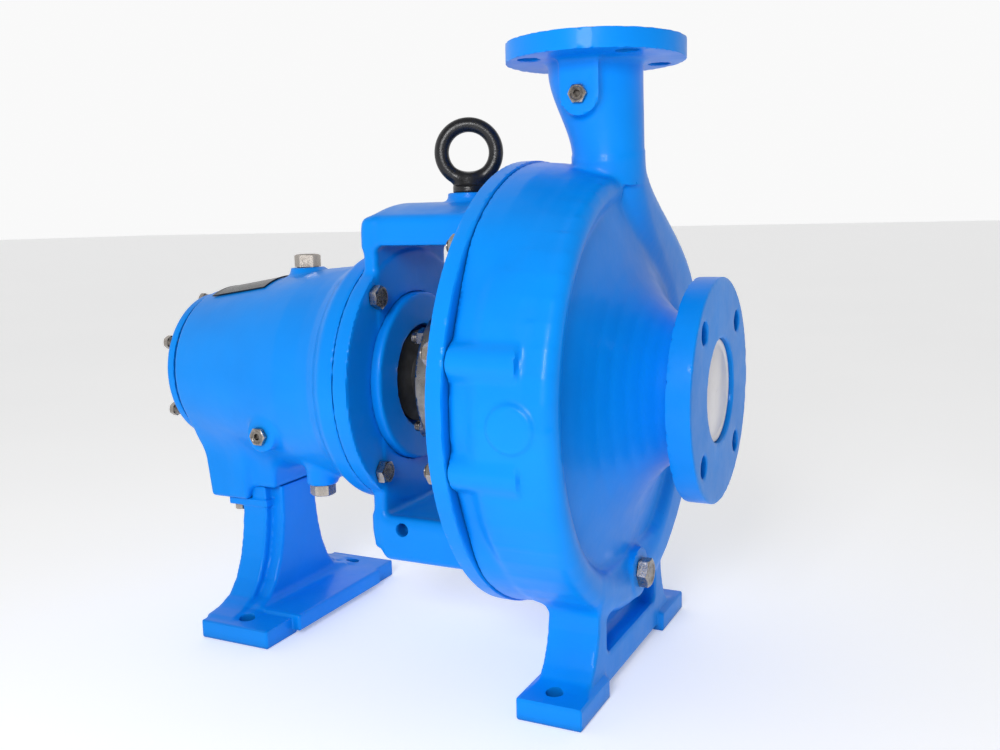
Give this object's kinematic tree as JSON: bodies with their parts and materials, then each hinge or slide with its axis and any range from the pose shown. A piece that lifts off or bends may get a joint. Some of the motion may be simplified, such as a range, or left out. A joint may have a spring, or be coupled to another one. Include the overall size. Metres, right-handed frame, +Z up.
{
  "type": "centrifugal water pump",
  "caption": "Back pull-out end-suction centrifugal pump with volute casing, top discharge, frame adapter, bearing frame, bare drive shaft and feet.",
  "frame": {"origin": "on the floor under the middle of the pump's length, below the shaft centre line", "axes": "+X along the shaft towards the suction flange, +Z up through the discharge flange, +Y completing a right-handed frame"},
  "size_m": [0.597, 0.3952, 0.546],
  "materials": {
    "blue_enamel": "gloss enamel over castings, slight orange peel",
    "fastener_steel": "bare machined fasteners, slightly dulled",
    "machined_steel": "turned steel",
    "polished_steel": "ground and polished steel",
    "raw_cast_iron": "unpainted cast iron",
    "black_steel": "black satin finish on forged steel",
    "gasket_sheet": "compressed fibre sheet",
    "carbon": "lapped carbon",
    "seal_rubber": "moulded rubber",
    "plate_black": "dark satin plate, left blank",
    "white_cap": "white moulded plastic"
  },
  "bodies": {
    "root": {"volute_casing": "blue_enamel", "casing_drain_plug": "fastener_steel", "discharge_gauge_plug": "fastener_steel", "suction_port_cap": "white_cap", "casing_gasket": "gasket_sheet", "seal_chamber_cover": "raw_cast_iron", "seal_gland": "machined_steel", "seal_stationary_seat": "carbon", "gland_stud_1": "fastener_steel", "gland_stud_2": "fastener_steel", "gland_stud_3": "fastener_steel", "gland_stud_4": "fastener_steel", "frame_adapter": "blue_enamel", "casing_stud_1": "fastener_steel", "casing_stud_2": "fastener_steel", "casing_stud_3": "fastener_steel", "casing_stud_4": "fastener_steel", "casing_stud_5": "fastener_steel", "casing_stud_6": "fastener_steel", "casing_stud_7": "fastener_steel", "casing_stud_8": "fastener_steel", "casing_stud_9": "fastener_steel", "casing_stud_10": "fastener_steel", "casing_stud_11": "fastener_steel", "casing_stud_12": "fastener_steel", "bearing_frame": "blue_enamel", "frame_bolt_1": "fastener_steel", "frame_bolt_2": "fastener_steel", "frame_bolt_3": "fastener_steel", "frame_bolt_4": "fastener_steel", "oil_filler_plug": "fastener_steel", "oil_level_plug": "fastener_steel", "oil_drain_plug": "fastener_steel", "frame_nameplate": "plate_black", "inboard_oil_seal": "seal_rubber", "frame_foot": "blue_enamel", "frame_foot_bolt_1": "fastener_steel", "frame_foot_bolt_2": "fastener_steel", "lifting_eye": "black_steel"},
    "bearing_carrier": {"thrust_bearing_housing": "blue_enamel", "outboard_oil_seal": "seal_rubber", "inboard_bearing_outer_race": "polished_steel", "outboard_bearing_outer_race": "polished_steel", "carrier_cap_screw_1": "fastener_steel", "carrier_cap_screw_2": "fastener_steel", "carrier_cap_screw_3": "fastener_steel", "carrier_jack_screw_1": "fastener_steel", "carrier_jack_screw_2": "fastener_steel", "carrier_jack_screw_3": "fastener_steel"},
    "rotor": {"impeller": "raw_cast_iron", "pump_shaft": "machined_steel", "coupling_key": "machined_steel", "shaft_sleeve": "polished_steel", "slinger_ring": "seal_rubber", "seal_rotating_head": "polished_steel", "bearing_lock_nut": "machined_steel", "inboard_bearing_inner_race": "polished_steel", "outboard_bearing_inner_race": "polished_steel"},
    "inboard_cage": {"inboard_bearing_balls_and_cage": "polished_steel"},
    "outboard_cage": {"outboard_bearing_balls_and_cage": "polished_steel"}
  },
  "joints": [
    {"name": "clearance_adjust", "type": "slide", "parent": "root", "child": "bearing_carrier", "axis": [1, 0, 0], "range_m": [-0.0008, 0.0008]},
    {"name": "rotor_spin", "type": "hinge", "parent": "bearing_carrier", "child": "rotor", "pos_m": [0, 0, 0.254], "axis": [1, 0, 0], "continuous": true},
    {"name": "inboard_cage_spin", "type": "hinge", "parent": "bearing_carrier", "child": "inboard_cage", "pos_m": [-0.0505, 0, 0.254], "axis": [1, 0, 0], "continuous": true},
    {"name": "outboard_cage_spin", "type": "hinge", "parent": "bearing_carrier", "child": "outboard_cage", "pos_m": [-0.1858, 0, 0.254], "axis": [1, 0, 0], "continuous": true}
  ],
  "couplings": [
    {"joint": "inboard_cage_spin", "follows": "rotor_spin", "ratio": 0.386},
    {"joint": "outboard_cage_spin", "follows": "rotor_spin", "ratio": 0.386}
  ]
}
